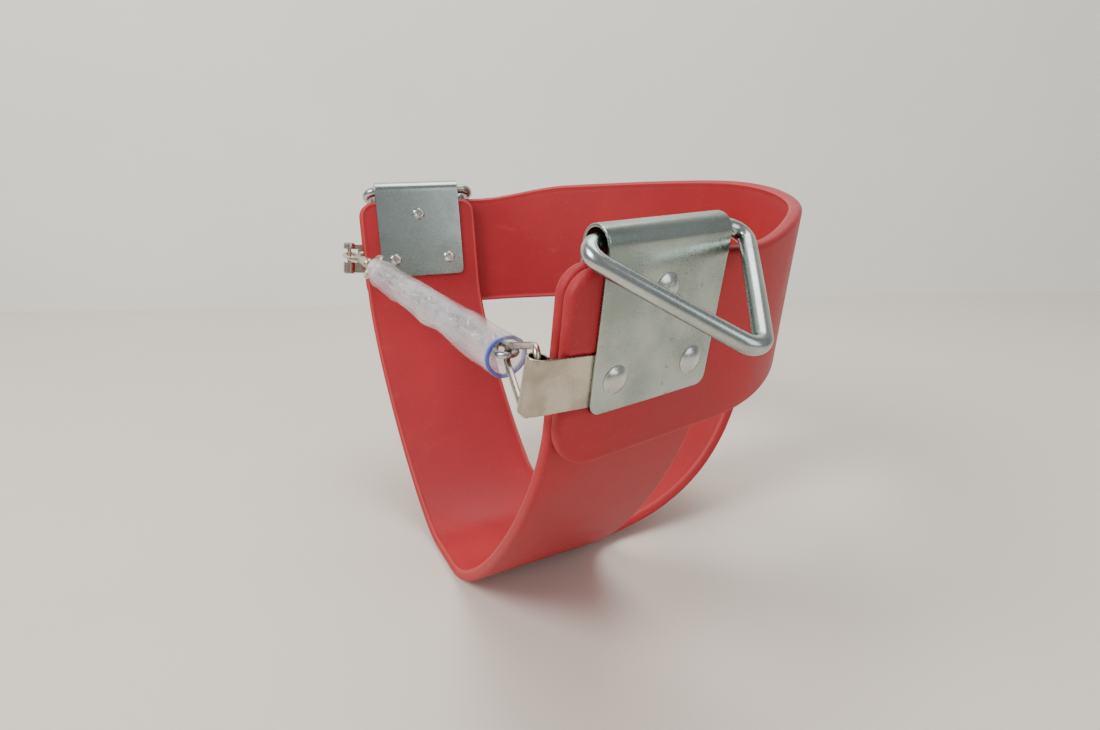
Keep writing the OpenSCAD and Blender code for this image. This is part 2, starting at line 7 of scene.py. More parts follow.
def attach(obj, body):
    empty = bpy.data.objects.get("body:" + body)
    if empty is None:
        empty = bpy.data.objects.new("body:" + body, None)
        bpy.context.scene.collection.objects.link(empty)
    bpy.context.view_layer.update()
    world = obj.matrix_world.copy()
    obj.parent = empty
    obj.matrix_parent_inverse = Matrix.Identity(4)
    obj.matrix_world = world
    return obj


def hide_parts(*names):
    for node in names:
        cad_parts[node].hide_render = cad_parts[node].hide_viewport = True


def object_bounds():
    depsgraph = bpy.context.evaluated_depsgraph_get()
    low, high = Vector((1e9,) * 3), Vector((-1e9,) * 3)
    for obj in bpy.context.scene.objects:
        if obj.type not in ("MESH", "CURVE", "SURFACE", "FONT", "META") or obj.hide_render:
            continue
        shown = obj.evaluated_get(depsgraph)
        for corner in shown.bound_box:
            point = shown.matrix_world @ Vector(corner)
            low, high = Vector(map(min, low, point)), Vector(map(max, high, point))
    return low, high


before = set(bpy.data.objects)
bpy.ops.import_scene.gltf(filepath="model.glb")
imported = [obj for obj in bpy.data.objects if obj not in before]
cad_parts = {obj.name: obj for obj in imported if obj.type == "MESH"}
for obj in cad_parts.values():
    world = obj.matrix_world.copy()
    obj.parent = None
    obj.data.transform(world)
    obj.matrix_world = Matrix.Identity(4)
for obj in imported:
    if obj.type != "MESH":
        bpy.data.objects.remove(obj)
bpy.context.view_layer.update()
MM = 0.001

# ---- the part's dimensions, in millimetres and degrees, as its source states them ----
HALF_SPAN, PLATE_H, FLARE, TOE = 216.0, 221.0, 9.7, 10.0
BELT_T, SEAT_W, SEAT_FLAT = 8.5, 124.0, 46.0
BACK_W, BACK_END_W, BACK_DEPTH, BACK_LOW, BACK_FRONT = 122.0, 115.0, 245.0, 200.0, 63.0
TONGUE_W, FILLET, SEAT_CORNER, BACK_CORNER = 95.0, 30.0, 16.0, 27.0
PLATE_W, PLATE_T, PLATE_LEG, PLATE_CORNER = 89.0, 2.0, 92.0, 7.0
RIVETS = {"upper": (0.0, 67.0), "front": (-29.0, 19.0), "rear": (29.0, 19.0)}
STRIP_H, STRIP_T, STRIP_REACH, STRIP_TILT, CURL_D = 31.0, 1.5, 49.0, 6.0, 12.0
WIRE_D, LINK_LEN, LINK_GAP, LINKS = 4.0, 22.0, 7.0, 15
SLEEVE_D, SLEEVE_WALL = 26.6, 2.6
HOOK_D, HOOK_GAP, BARREL_D, BOLT_D = 4.5, 10.5, 10.5, 4.4
RING_D, RING_BASE, RING_DROP, RING_BEND, RING_REST, RING_SHIFT = 10.0, 128.0, 84.0, 9.0, 63.0, 3.0
STRIP_POCKET = 1.75
FOLD_IN = BELT_T
STRAP_TOP = PLATE_LEG - FOLD_IN - 1.5
BELT_MID_Z = STRAP_TOP - BACK_END_W / 2
FLIP = np.array([-1.0, 1.0, 1.0])


# ---- small vector helpers ----
def turn(axis, degrees):
    """Rotation matrix about the x, y or z axis."""
    c, s = math.cos(math.radians(degrees)), math.sin(math.radians(degrees))
    m = {"x": [[1, 0, 0], [0, c, -s], [0, s, c]],
         "y": [[c, 0, s], [0, 1, 0], [-s, 0, c]],
         "z": [[c, -s, 0], [s, c, 0], [0, 0, 1]]}
    return np.array(m[axis], float)


HANG = turn("z", TOE) @ turn("y", FLARE)
TILT = turn("x", -STRIP_TILT)


def unit(v):
    v = np.asarray(v, float)
    return v / np.linalg.norm(v, axis=-1, keepdims=True)


def smooth(u):
    u = np.clip(u, 0, 1)
    return u * u * (3 - 2 * u)


def on_hanger(p, side=1):
    """Points from the hanger's own frame (x outwards, y to the rear, z up) to the object's frame."""
    q = np.asarray(p, float) @ HANG.T + [HALF_SPAN, 0, PLATE_H]
    return q if side > 0 else q * FLIP


def on_bracket(p, side=1):
    """Points from the bracket's frame (origin at the front rivet) to the object's frame."""
    y, z = RIVETS["front"]
    return on_hanger(np.asarray(p, float) @ TILT.T + [0, y, z], side)


def bezier(p, u):
    u = np.asarray(u, float)[:, None]
    p = [np.asarray(q, float) for q in p]
    at = (1 - u) ** 3 * p[0] + 3 * (1 - u) ** 2 * u * p[1] + 3 * (1 - u) * u * u * p[2] + u ** 3 * p[3]
    way = (1 - u) ** 2 * (p[1] - p[0]) + 2 * (1 - u) * u * (p[2] - p[1]) + u * u * (p[3] - p[2])
    return at, unit(way)


def arc_length(points):
    return np.concatenate([[0], np.cumsum(np.linalg.norm(np.diff(points, axis=0), axis=1))])


def sample(s, at, values):
    """values, known at rising positions at, interpolated at s."""
    values = np.asarray(values)
    if values.ndim == 1:
        return np.interp(s, at, values)
    return np.stack([np.interp(s, at, values[:, k]) for k in range(values.shape[1])], axis=-1)


def edge_steps(r, count=6):
    """Distances from an edge that split a rounding of radius r into equal turns."""
    return [r * (1 - math.cos(math.pi / 2 * k / count)) for k in range(count + 1)]


def spread(length, r, step):
    """Positions from 0 to length, close together in the roundings at both ends."""
    near = np.array(edge_steps(r) + [r * 1.5, r * 2.1])
    near = near[near < length / 2]
    count = max(2, int(math.ceil((length - 2 * near[-1]) / step)) + 1)
    between = np.linspace(near[-1], length - near[-1], count)
    return np.concatenate([near[:-1], between, (length - near[:-1])[::-1]])


# ---- meshes ----
def piece(name, verts, faces, nodes, body, slot, attributes=None):
    """A closed piece from points in mm and faces, wound so that its normals point outwards.
    It stands for nodes, rides on body and takes its finish from slot."""
    v = np.asarray(verts, float) * MM
    faces = [list(map(int, f)) for f in faces]
    volume = 0.0
    for size in sorted({len(f) for f in faces}):
        f = np.array([g for g in faces if len(g) == size])
        for k in range(1, size - 1):
            volume += np.einsum("ij,ij->", v[f[:, 0]], np.cross(v[f[:, k]], v[f[:, k + 1]]))
    if volume < 0:
        faces = [f[::-1] for f in faces]
    name = "made_" + name.replace(" ", "_")
    mesh = bpy.data.meshes.new(name)
    mesh.from_pydata(v.tolist(), [], faces)
    mesh.polygons.foreach_set("use_smooth", np.ones(len(faces), bool))
    mesh.set_sharp_from_angle(angle=math.radians(38))
    for key, values in (attributes or {}).items():
        mesh.attributes.new(key, "FLOAT", "POINT").data.foreach_set("value", np.asarray(values, np.float32))
    mesh.update()
    obj = bpy.data.objects.new(name, mesh)
    bpy.context.scene.collection.objects.link(obj)
    obj.data.materials.append(MATERIALS[slot])
    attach(obj, body)
    if nodes:
        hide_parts(*nodes)
    return obj


def quads(rows, cols, wrap_rows=False, wrap_cols=False, start=0):
    """Faces of a grid of points in row order; either way round may close on itself."""
    i = np.arange(rows if wrap_rows else rows - 1)[:, None]
    j = np.arange(cols if wrap_cols else cols - 1)[None, :]
    a, b = i * cols + j, i * cols + (j + 1) % cols
    c, d = ((i + 1) % rows) * cols + (j + 1) % cols, ((i + 1) % rows) * cols + j
    return np.stack([a, b, c, d], axis=-1).reshape(-1, 4) + start


def crossed(mid, faces):
    """Cross product of each face's two diagonals, along its normal."""
    return np.cross(mid[faces[:, 2]] - mid[faces[:, 0]], mid[faces[:, 3]] - mid[faces[:, 1]])


def edge_distance(points, lines):
    """Distance of 2-D points to the nearest of some polylines."""
    a = np.concatenate([np.asarray(line)[:-1] for line in lines])
    b = np.concatenate([np.asarray(line)[1:] for line in lines])
    ab = b - a
    size = np.maximum((ab ** 2).sum(1), 1e-9)
    out = np.empty(len(points))
    for k in range(0, len(points), 2000):
        p = points[k:k + 2000, None, :] - a[None]
        t = np.clip((p * ab).sum(2) / size, 0, 1)
        out[k:k + 2000] = np.sqrt(((p - t[..., None] * ab) ** 2).sum(2)).min(1)
    return out


def plate(mid, faces, thick, edge, band, bead=0.0, sink=0.0):
    """A sheet about the middle surface mid. With d the distance to its rim, over the rounding
    radius, each face stands off by thick / 2 * (band + (1 - band) * sqrt(1 - (1 - d)^2)).
    sink is taken off the side the faces' normals point to and bead is added on the other."""
    n = np.zeros_like(mid)
    across = crossed(mid, faces)
    for k in range(4):
        np.add.at(n, faces[:, k], across)
    n = unit(n)
    off = thick / 2 * (band + (1 - band) * np.sqrt(1 - (1 - np.clip(edge, 0, 1)) ** 2))
    m = len(mid)
    verts = np.concatenate([mid + n * (off - sink)[:, None], mid - n * (off + bead)[:, None]])
    rim = np.concatenate([faces[:, [0, 1]], faces[:, [1, 2]], faces[:, [2, 3]], faces[:, [3, 0]]])
    rim = rim[~np.isin(rim[:, 0] * m + rim[:, 1], rim[:, 1] * m + rim[:, 0])]
    sides = np.stack([rim[:, 1], rim[:, 0], rim[:, 0] + m, rim[:, 1] + m], axis=1)
    return verts, np.concatenate([faces, faces[:, ::-1] + m, sides])


def rod(path, normal, r, closed=True, sides=28):
    """A round rod along a flat path: path + r * (cos b * side + sin b * normal)."""
    path, normal = np.asarray(path, float), unit(normal)
    if closed:
        way = unit(np.roll(path, -1, 0) - np.roll(path, 1, 0))
    else:
        way = unit(np.gradient(path, axis=0))
    side = np.cross(normal, way)
    b = np.linspace(0, 2 * math.pi, sides, endpoint=False)
    radius = np.full(len(path), float(r)) if np.isscalar(r) else np.asarray(r, float)
    ring = np.cos(b)[None, :, None] * side[:, None, :] + np.sin(b)[None, :, None] * normal
    verts = (path[:, None, :] + radius[:, None, None] * ring).reshape(-1, 3)
    faces = quads(len(path), sides, wrap_rows=closed, wrap_cols=True).tolist()
    if not closed:
        faces += [list(range(sides))[::-1], list(range((len(path) - 1) * sides, len(path) * sides))]
    return verts, faces


def turned(profile, sides=56):
    """A turned solid round the x axis from a profile of (x, radius) pairs, with flat ends."""
    p = np.asarray(profile, float)
    b = np.linspace(0, 2 * math.pi, sides, endpoint=False)
    verts = np.stack([np.repeat(p[:, 0], sides), np.outer(p[:, 1], np.cos(b)).ravel(),
                      np.outer(p[:, 1], np.sin(b)).ravel()], axis=1)
    faces = quads(len(p), sides, wrap_cols=True).tolist()
    return verts, faces + [list(range(sides))[::-1], list(range((len(p) - 1) * sides, len(p) * sides))]


def rounded(corners, radii, closed=False, steps=7):
    """A 2-D or 3-D polyline with each inner corner turned at its radius."""
    pts = [np.asarray(c, float) for c in corners]
    out, n = [], len(pts)
    for i, p in enumerate(pts):
        r = radii if np.isscalar(radii) else radii[i]
        if (not closed and i in (0, n - 1)) or r == 0:
            out.append(p)
            continue
        a, b = unit(pts[i - 1] - p), unit(pts[(i + 1) % n] - p)
        inner = math.acos(float(np.clip(a @ b, -1, 1)))
        mid = p + unit(a + b) * r / math.sin(inner / 2)
        start = p + a * r / math.tan(inner / 2) - mid
        stop = p + b * r / math.tan(inner / 2) - mid
        sweep = math.pi - inner
        for k in range(steps + 1):
            t = k / steps
            along = math.sin((1 - t) * sweep) * start + math.sin(t * sweep) * stop
            out.append(mid + along / math.sin(sweep))
    return np.array(out)


def fill(path, step, closed=False):
    """The same polyline with no gap longer than step."""
    path = list(path) + ([path[0]] if closed else [])
    out = []
    for a, b in zip(path[:-1], path[1:]):
        count = max(1, int(math.ceil(np.linalg.norm(b - a) / step)))
        out += [a + (b - a) * k / count for k in range(count)]
    return np.array(out if closed else out + [path[-1]])


def join(*parts):
    """Several (points, faces) pairs as one."""
    verts, faces, start = [], [], 0
    for v, f in parts:
        verts.append(v)
        faces += [[k + start for k in g] for g in f]
        start += len(v)
    return np.concatenate(verts), faces


# ---- shader maths ----
class Sock:
    """A shader value that arithmetic adds Math nodes to."""

    def __init__(self, tree, out):
        self.tree, self.out = tree, out

    def node(self, kind, inputs, out=0, **settings):
        n = self.tree.nodes.new(kind)
        for key, value in settings.items():
            setattr(n, key, value)
        for key, value in inputs.items():
            if isinstance(value, Sock):
                self.tree.links.new(value.out, n.inputs[key])
            else:
                n.inputs[key].default_value = value
        return Sock(self.tree, n.outputs[out])

    def op(self, name, *others, clamp=False):
        return self.node("ShaderNodeMath", dict(enumerate((self,) + others)), operation=name, use_clamp=clamp)

    def __add__(self, o):
        return self.op("ADD", o)

    def __sub__(self, o):
        return self.op("SUBTRACT", o)

    def __mul__(self, o):
        return self.op("MULTIPLY", o)

    __radd__, __rmul__ = __add__, __mul__

    def step(self, low, high):
        """0 below low, 1 above high, smooth between."""
        return self.node("ShaderNodeMapRange", {0: self, 1: low, 2: high, 3: 0.0, 4: 1.0},
                         interpolation_type="SMOOTHSTEP")

    def noise(self, scale, detail=4.0, rough=0.55, stretch=(1, 1, 1)):
        place = self.node("ShaderNodeMapping", {"Vector": self, "Scale": stretch})
        return self.node("ShaderNodeTexNoise",
                         {"Vector": place, "Scale": scale, "Detail": detail, "Roughness": rough})

    def mix(self, a, b):
        """Colour a where this value is 0, b where it is 1."""
        return self.node("ShaderNodeMix", {0: self, 6: a, 7: b}, out=2, data_type="RGBA")


def finish(name, build, **fixed):
    """A material on Object coordinates. build(where) returns the Principled inputs that vary,
    and may return a bump height with its depth in metres under "bump"."""
    mat = bpy.data.materials.new(name)
    mat.use_nodes = True
    tree = mat.node_tree
    shader = tree.nodes["Principled BSDF"]
    where = Sock(tree, tree.nodes.new("ShaderNodeTexCoord").outputs["Object"])
    made = build(where)
    if "bump" in made:
        height, depth = made.pop("bump")
        made["Normal"] = where.node("ShaderNodeBump", {"Height": height, "Distance": depth, "Strength": 1.0})
    for key, value in list(made.items()) + list(fixed.items()):
        if isinstance(value, Sock):
            tree.links.new(value.out, shader.inputs[key])
        else:
            shader.inputs[key].default_value = value
    return mat


def lin(r, g, b):
    """Linear colour from 0-255 display values."""
    f = lambda c: c / 12.92 if c <= 0.04045 else ((c + 0.055) / 1.055) ** 2.4
    return (f(r / 255), f(g / 255), f(b / 255), 1.0)


def attribute(where, name):
    return where.node("ShaderNodeAttribute", {}, out=2, attribute_name=name)


def rubber(where):
    """Matte red rubber: cloudy tone, dusty scuffs, paler lip, fine grain."""
    cloud = where.noise(9, 3).step(0.35, 0.7)
    dust = where.noise(38, 6, 0.7, (1, 1, 2.5)).step(0.56, 0.74)
    speck = where.noise(420, 2).step(0.62, 0.72)
    lip = attribute(where, "lip")
    tone = cloud.mix(lin(160, 26, 36), lin(176, 34, 42))
    tone = (dust * 0.14).mix(tone, lin(205, 100, 98))
    tone = (speck * 0.06).mix(tone, lin(225, 150, 145))
    tone = (lip * 0.4).mix(tone, lin(216, 92, 90))
    grain = where.noise(900, 3) * 0.6 + where.noise(210, 3) * 0.4
    return {"Base Color": tone, "Roughness": 0.5 + 0.16 * cloud + 0.14 * dust, "bump": (grain, 0.00012)}


def metal(light, dark, low, high, scale, stretch, depth=0.00003):
    """Plated metal: cloudy plating, fine marks, a few dull spots."""
    def build(where):
        cloud = where.noise(scale * 0.35, 3).step(0.35, 0.68)
        mark = where.noise(scale * 6, 5, 0.65, stretch).step(0.45, 0.75)
        spot = where.noise(scale * 2.2, 4, 0.6).step(0.66, 0.74)
        tone = cloud.mix(light, dark)
        tone = (spot * 0.45).mix(tone, tuple(c * 0.55 for c in dark[:3]) + (1.0,))
        rough = low + (high - low) * (cloud * 0.5 + mark * 0.5) + 0.18 * spot
        wave = where.noise(scale * 0.8, 2) * 3.0 + where.noise(scale * 9, 3)
        return {"Base Color": tone, "Roughness": rough, "bump": (wave, depth)}
    return build


def sleeve(where):
    """Milky clear plastic: cloudy, a painted pink reflection of the red rubber near the cut, a saturated blue
    cut edge.
    """
    cloud = where.noise(28, 4, 0.6, (0.35, 1, 1)).step(0.35, 0.7)
    rim, near = attribute(where, "rim"), attribute(where, "near")
    tone = cloud.mix(lin(205, 203, 212), lin(238, 236, 238))
    # Painted reflection: pink standing in for the red belts seen in the tube, strongest at the cut.
    tone = (near * 0.5).mix(tone, lin(226, 190, 200))
    tone = rim.mix(tone, lin(66, 98, 196))
    haze = 0.2 + 0.3 * cloud - 0.08 * near
    alpha = (haze + rim * 0.6).op("MINIMUM", 0.97)
    return {"Base Color": tone, "Alpha": alpha, "Roughness": 0.14 + 0.14 * cloud,
            "Coat Weight": 0.6 + 0.3 * cloud, "bump": (where.noise(55, 3, 0.5, (0.4, 1, 1)), 0.0009)}


MATERIALS = {
    "belt": finish("red rubber", rubber, **{"Specular IOR Level": 0.42}),
    "clear_sleeve": finish("clear sleeve", sleeve, IOR=1.5),
}
# Each metal's light and dark tone, least and greatest roughness, pattern scale and stretch.
METALS = {
    "spring_steel": ("spring steel", (150, 152, 156), (120, 122, 126), 0.3, 0.45, 60, (1, 1, 1)),
    "zinc_plate": ("zinc plate", (176, 186, 180), (146, 156, 150), 0.2, 0.36, 55, (1, 1, 6)),
    "zinc_rod": ("zinc rod", (180, 188, 184), (146, 154, 150), 0.22, 0.36, 70, (1, 1, 1)),
    "rivet": ("rivet zinc", (214, 217, 212), (182, 186, 182), 0.18, 0.34, 120, (1, 1, 1)),
    "nickel": ("nickel", (196, 187, 172), (164, 153, 138), 0.22, 0.4, 110, (1, 1, 1)),
    "zinc_chain": ("chain zinc", (196, 198, 198), (150, 152, 154), 0.24, 0.42, 140, (1, 1, 1)),
}
for slot, (label, light, dark, low, high, scale, stretch) in METALS.items():
    MATERIALS[slot] = finish(label, metal(lin(*light), lin(*dark), low, high, scale, stretch), Metallic=1.0)

# ---- the belts' middle lines ----
z = np.linspace(STRAP_TOP, -8, 40)
straight = on_hanger(np.stack([np.full(40, -BELT_T / 2), np.zeros(40), z], axis=1))
SEAT_CURVE = [straight[-1], straight[-1] - 72 * HANG[:, 2],
              [SEAT_FLAT / 2 + 49, 0, BELT_T / 2], [SEAT_FLAT / 2, 0, BELT_T / 2]]
u = np.linspace(0, 1, 400)
at, way = bezier(SEAT_CURVE, u)
seat_c = np.concatenate([straight[:-1], at, [[0, 0, BELT_T / 2]]])
seat_d = np.concatenate([np.tile(-HANG[:, 2], (39, 1)), way, [[-1, 0, 0]]])
twist = np.radians(TOE * (1 - smooth(np.concatenate([np.zeros(39), u, [1]]))))
rear = np.stack([-np.sin(twist), np.cos(twist), np.zeros(len(twist))], axis=1)
seat_w = unit(np.cross(unit(np.cross(seat_d, rear)), seat_d))
seat_c, seat_w = seat_c[::-1], seat_w[::-1]
seat_s = arc_length(seat_c)
SEAT_L = seat_s[-1]

y = np.linspace(-BACK_FRONT, SEAT_W / 2 + 0.5, 50)
straight = on_hanger(np.stack([np.full(50, BELT_T / 2), y, np.full(50, BELT_MID_Z)], axis=1))
BELT_CURVE = [straight[-1], straight[-1] + 95.5 * HANG[:, 1],
              [77, BACK_DEPTH, BACK_LOW + BACK_W / 2], [0, BACK_DEPTH, BACK_LOW + BACK_W / 2]]
at, way = bezier(BELT_CURVE, u)
belt_c = np.concatenate([straight[:-1], at])
belt_d = np.concatenate([np.tile(HANG[:, 1], (49, 1)), way])
belt_u = np.concatenate([np.zeros(49), u])
lean = HANG[:, 2] + (np.array([0, 0, 1]) - HANG[:, 2]) * smooth(belt_u)[:, None]
belt_up = unit(lean - (lean * belt_d).sum(1, keepdims=True) * belt_d)
belt_lo = BACK_END_W / 2 + (BACK_W - BACK_END_W) / 2 * smooth(belt_u)
belt_hi = belt_lo + 10 * smooth((belt_u - 0.04) / 0.33) * (1 - smooth(belt_u))
belt_c, belt_up, belt_lo, belt_hi = belt_c[::-1], belt_up[::-1], belt_lo[::-1], belt_hi[::-1]
belt_s = arc_length(belt_c)
BELT_L = belt_s[-1]


def mirrored(s, points):
    """Points for |s|, with x turned over where s is negative."""
    out = np.array(points)
    out[..., 0] *= np.where(s < 0, -1.0, 1.0)
    return out


def seat_point(s, t):
    """Middle surface of the seat strap: c(|s|) + t * w(|s|)."""
    a = np.abs(s)
    return mirrored(s, sample(a, seat_s, seat_c) + t[..., None] * sample(a, seat_s, seat_w))


def belt_point(s, v):
    """Middle surface of the back belt: c(|s|) + v * up(|s|)."""
    a = np.abs(s)
    return mirrored(s, sample(a, belt_s, belt_c) + v[..., None] * sample(a, belt_s, belt_up))


def corner(e, r):
    """What a corner of radius r takes off the width, at distance e from the end."""
    return np.where(e < r, r - np.sqrt(np.maximum(r * r - (r - np.clip(e, 0, r)) ** 2, 0)), 0)


# ---- the tongue ----
TONGUE_CURVE = [[0, SEAT_W / 2 - 3, BELT_T / 2], [0, SEAT_W / 2 + 58, BELT_T / 2],
                [0, BACK_DEPTH, 18], [0, BACK_DEPTH, BACK_LOW]]
tongue_c, tongue_d = bezier(TONGUE_CURVE, u)
tongue_n = np.cross(tongue_d, [1.0, 0, 0])
root_u = np.interp(SEAT_W / 2, tongue_c[:, 1], u)
tongue_v = arc_length(tongue_c)
tongue_v -= np.interp(root_u, u, tongue_v)
TONGUE_L = tongue_v[-1]
ROOT = TONGUE_W / 2 + FILLET


def blend(d):
    d = np.clip(d, 0, FILLET)
    return FILLET - np.sqrt(FILLET ** 2 - (FILLET - d) ** 2)


def tongue_half(v):
    c = sample(v, tongue_v, tongue_c)
    return TONGUE_W / 2 + blend(c[..., 1] - SEAT_W / 2) + blend(BACK_LOW - c[..., 2])


def tongue_point(x, v):
    """Middle surface of the tongue: c(v) + x - n * cup, cup passing from the strap's curve to
    the belt's."""
    low = sample(np.abs(x), seat_c[:300, 0], seat_c[:300, 2]) - BELT_T / 2
    high = BACK_DEPTH - sample(np.abs(x), belt_c[:300, 0], belt_c[:300, 1])
    cup = low + (high - low) * smooth(sample(v, tongue_v, u))
    p = sample(v, tongue_v, tongue_c) - sample(v, tongue_v, tongue_n) * cup[..., None]
    p[..., 0] += x
    return p


RIM_R = 3.3
off = np.array(edge_steps(RIM_R) + [5.2, 7.5])
fan = np.linspace(0, 1 - off[-1] / (TONGUE_W / 2), 10)
phi = np.concatenate([fan, (1 - off[:-1] / (TONGUE_W / 2))[::-1]])
phi = np.concatenate([-phi[:0:-1], phi])
line_v = np.linspace(0, 45, 60)
fillet_root = np.stack([tongue_half(line_v), line_v], axis=1)
fillet_top = np.stack([tongue_half(TONGUE_L - line_v), line_v], axis=1)


def both(line):
    """A 2-D polyline and its mirror image."""
    line = np.asarray(line, float)
    return [line, line * [-1, 1]]


def bead(d):
    """Raised lip along the rim: 0.7 exp(-((d-2.4)/0.9)^2) - 0.35 exp(-((d-4.6)/1.0)^2)."""
    return 0.7 * np.exp(-((d - 2.4) / 0.9) ** 2) - 0.35 * np.exp(-((d - 4.6) / 1.0) ** 2)


def lip(d):
    """Where the lip's pale line lies."""
    return np.exp(-((d - 2.3) / 1.1) ** 2)


def make_seat():
    """The seat strap and its tongue as one sheet on one grid of points. The strap's rear row
    between the two root fillets is also the tongue's first row."""
    rise = slice(0, 300)
    root_s = np.interp(ROOT * phi[phi >= 0], seat_c[rise, 0], seat_s[rise])
    out = root_s[-1] + np.array([0.5, 1.2, 2.2, 3.6, 5.5, 8.0])
    turns = [SEAT_CORNER * (1 - math.sin(a)) for a in np.linspace(0, 1.35, 12)]
    tail = SEAT_L - np.array([30, 24, 20] + turns + [0.25, 0])
    run = np.linspace(out[-1], tail[0], int((tail[0] - out[-1]) / 5) + 2)[1:-1]
    half = np.concatenate([root_s, out, run, tail])
    s = np.concatenate([-half[:0:-1], half])
    t = spread(SEAT_W, RIM_R, 6) - SEAT_W / 2
    lim = SEAT_W / 2 - corner(SEAT_L - np.abs(s), SEAT_CORNER)
    S, T = np.broadcast_to(s[:, None], (len(s), len(t))), lim[:, None] * (t / (SEAT_W / 2))[None, :]
    mid = seat_point(S, T).reshape(-1, 3)
    flat = np.stack([S, T], axis=-1).reshape(-1, 2)
    faces = quads(len(s), len(t))
    front = np.stack([s, -lim], axis=1)
    behind = np.stack([s, lim], axis=1)
    end = np.array([[SEAT_L, -lim[-1]], [SEAT_L, lim[-1]]])
    lines = [front, behind[s >= root_s[-1]], behind[s <= -root_s[-1]]] + both(end)
    lines += both(fillet_root + [root_s[-1] - ROOT, SEAT_W / 2])
    d = edge_distance(flat, lines)

    first = len(s) // 2 - len(phi) // 2
    root = (np.arange(first, first + len(phi)) + 1) * len(t) - 1
    v = np.concatenate([[0, 0.5, 1.2, 2.2, 3.4, 5, 7, 9.5, 12.5, 16, 20, 25],
                        np.linspace(30, TONGUE_L - 28, 34),
                        TONGUE_L - np.array([22, 17, 13, 9, 6, 4, 2, 1, 0])])
    V = np.broadcast_to(v[:, None], (len(v), len(phi)))
    X = tongue_half(v)[:, None] * phi[None, :]
    p = tongue_point(X, V)
    p += (mid[root] - p[0]) * (1 - smooth(V / 25))[..., None]
    x_top = X[-1]
    s_top = np.interp(np.abs(x_top), belt_c[:300, 0], belt_s[:300]) * np.sign(x_top)
    low = belt_point(s_top, -np.interp(np.abs(s_top), belt_s, belt_lo))
    p += (low - p[-1]) * smooth(1 - (TONGUE_L - V) / 25)[..., None]
    dense = np.linspace(0, TONGUE_L, 200)
    lines = both(np.stack([tongue_half(dense), dense], axis=1))
    lines += both([[ROOT, 0], [200, 0]]) + both([[ROOT, TONGUE_L], [200, TONGUE_L]])
    d_tongue = edge_distance(np.stack([X, V], axis=-1).reshape(-1, 2), lines).reshape(X.shape)
    count = len(mid)
    index = np.concatenate([root[None, :], count + np.arange((len(v) - 1) * len(phi)).reshape(-1, len(phi))])
    more = [index[:-1, :-1], index[:-1, 1:], index[1:, 1:], index[1:, :-1]]
    more = np.stack(more, axis=-1).reshape(-1, 4)
    mid = np.concatenate([mid, p[1:].reshape(-1, 3)])
    d = np.concatenate([d, d_tongue[1:].ravel()])
    d[root] = np.minimum(d[root], d_tongue[0])
    # A rear strap face runs rear to front in the same turn as a tongue face runs across.
    up = crossed(mid, faces)[len(faces) // 2, 2]
    if crossed(mid, more)[len(phi), 2] * up < 0:
        more = more[:, ::-1]
    every = np.concatenate([faces, more])
    if up > 0:
        every = every[:, ::-1]
    verts, every = plate(mid, every, BELT_T, d / RIM_R, 0.22, bead(d))
    return piece("seat strap and tongue", verts, every, ["seat_strap"], "seat", "belt",
                 {"lip": np.concatenate([0 * d, lip(d)])})


def make_belt():
    """The back belt as one sheet. Its lower rim isn't rounded where the tongue joins it, and
    its outer face is pressed in by 1.75 mm under the chain brackets' strips."""
    root_s = float(np.interp(ROOT, belt_c[:300, 0], belt_s[:300]))
    inner = root_s * phi[phi >= 0]
    out = root_s + np.array([0.5, 1.2, 2.2, 3.6, 5.5, 8.0])
    turns = [BACK_CORNER * (1 - math.sin(a)) for a in np.linspace(0, 1.3, 22)]
    ahead_of_turn = list(np.arange(58, BACK_CORNER, -2.0))
    tail = BELT_L - np.array(ahead_of_turn + turns + edge_steps(RIM_R)[:3][::-1])
    tail = np.unique(np.round(tail, 4))
    run = np.linspace(out[-1], tail[0], int((tail[0] - out[-1]) / 5) + 2)[1:-1]
    half = np.concatenate([inner, out, run, tail])
    s = np.concatenate([-half[:0:-1], half])
    a = np.abs(s)
    hi = np.interp(a, belt_s, belt_hi) - corner(BELT_L - a, SEAT_CORNER)
    lo = np.interp(a, belt_s, belt_lo) - corner(BELT_L - a, BACK_CORNER)
    t = spread(BACK_W, RIM_R, 2.4) / BACK_W
    S = np.broadcast_to(s[:, None], (len(s), len(t)))
    V = -lo[:, None] + (hi + lo)[:, None] * t[None, :]
    mid = belt_point(S, V).reshape(-1, 3)
    top, bottom = np.stack([s, hi], axis=1), np.stack([s, -lo], axis=1)
    lines = [top, bottom[s >= root_s], bottom[s <= -root_s]] + both([[BELT_L, -lo[-1]], [BELT_L, hi[-1]]])
    lines += both(np.stack([root_s + fillet_top[:, 0] - ROOT, -belt_lo[0] - fillet_top[:, 1]], axis=1))
    d = edge_distance(np.stack([S, V], axis=-1).reshape(-1, 2), lines)
    faces = quads(len(s), len(t))
    if crossed(mid, faces)[len(faces) // 2, 1] < 0:
        faces = faces[:, ::-1]
    local = (np.abs(mid) * [1, 0, 0] + mid * [0, 1, 1] - [HALF_SPAN, 0, PLATE_H]) @ HANG
    local = (local - [0, *RIVETS["front"]]) @ TILT
    outside = np.hypot(np.maximum(local[:, 1] - 12.5, 0),
                       np.maximum(np.abs(local[:, 2]) - STRIP_H / 2 - 0.3, 0))
    sink = STRIP_POCKET * (1 - smooth(outside / 2.2)) * (local[:, 1] < 16)
    verts, faces = plate(mid, faces, BELT_T, d / RIM_R, 0.22, bead(d), sink)
    return piece("back belt", verts, faces, ["back_belt"], "seat", "belt",
                 {"lip": np.concatenate([0 * d, lip(d)])})


